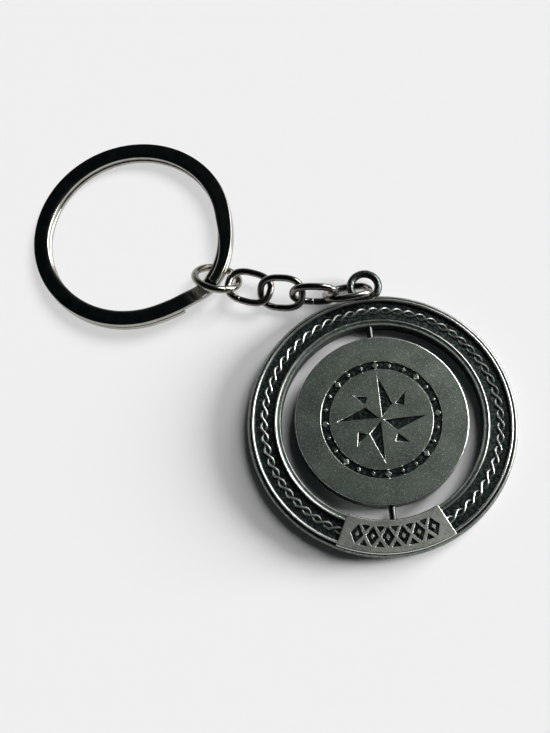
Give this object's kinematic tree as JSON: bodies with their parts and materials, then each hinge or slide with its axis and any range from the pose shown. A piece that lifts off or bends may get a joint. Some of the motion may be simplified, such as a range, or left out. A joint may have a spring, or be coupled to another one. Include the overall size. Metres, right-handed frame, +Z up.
{
  "type": "rotating keyring",
  "caption": "Keyring whose round engraved centre spins on two pins inside a cast frame, with a short oval-link chain and a flat split ring, lying flat.",
  "frame": {"origin": "on the table under the middle of the whole keyring's bounding box, as it lies", "axes": "+Z up, square to the pendant's flat back; +Y along the disc's pin axis, from the banner plate to the eyelet; the chain and the split ring lie off towards -X and +Y"},
  "size_m": [0.0724, 0.0716, 0.0061],
  "materials": {
    "antique_silver": "antique silver plating on a zinc casting, dark in its recesses and polished on its ridges",
    "satin_pewter": "satin pewter plating on a zinc casting, with blackened engraving",
    "pin_steel": "bright drawn steel",
    "dark_nickel": "polished dark nickel plating on steel wire",
    "polished_steel": "polished nickel-plated spring steel"
  },
  "bodies": {
    "pendant_frame": {"frame": "antique_silver", "upper_pin": "pin_steel", "lower_pin": "pin_steel"},
    "spinner": {"spinner_disc": "satin_pewter"},
    "chain_link_1": {"chain_link_1": "dark_nickel"},
    "chain_link_2": {"chain_link_2": "dark_nickel"},
    "chain_link_3": {"chain_link_3": "dark_nickel"},
    "chain_link_4": {"chain_link_4": "dark_nickel"},
    "jump_ring": {"jump_ring": "dark_nickel"},
    "split_ring": {"split_ring": "polished_steel"}
  },
  "joints": [
    {"name": "disc_spin", "type": "hinge", "parent": "pendant_frame", "child": "spinner", "pos_m": [0.01618, -0.01577, 0.00176], "axis": [0, 1, 0], "continuous": true},
    {"name": "link_1_swing", "type": "hinge", "parent": "pendant_frame", "child": "chain_link_1", "pos_m": [0.01416, 0.00667, 0.00185], "axis": [-0.6991, 0.6492, 0.2996], "range_deg": [0, 20]},
    {"name": "link_2_swing", "type": "hinge", "parent": "chain_link_1", "child": "chain_link_2", "pos_m": [0.01037, 0.00573, 0.00165], "axis": [0, 1, 0], "range_deg": [0, 50]},
    {"name": "link_3_swing", "type": "hinge", "parent": "chain_link_2", "child": "chain_link_3", "pos_m": [0.00547, 0.00522, 0.00155], "axis": [0, 0, 1], "range_deg": [-40, 25]},
    {"name": "link_4_swing", "type": "hinge", "parent": "chain_link_3", "child": "chain_link_4", "pos_m": [0.00022, 0.00564, 0.00137], "axis": [0, 0, 1], "range_deg": [-55, 0]},
    {"name": "jump_ring_swing", "type": "hinge", "parent": "chain_link_4", "child": "jump_ring", "pos_m": [-0.00486, 0.00705, 0.0028], "axis": [0, 0.995, 0.0995], "range_deg": [0, 60]},
    {"name": "split_ring_swing", "type": "hinge", "parent": "jump_ring", "child": "split_ring", "pos_m": [-0.00605, 0.01223, 0.00063], "axis": [0, 0, 1], "range_deg": [-14, 18]}
  ]
}
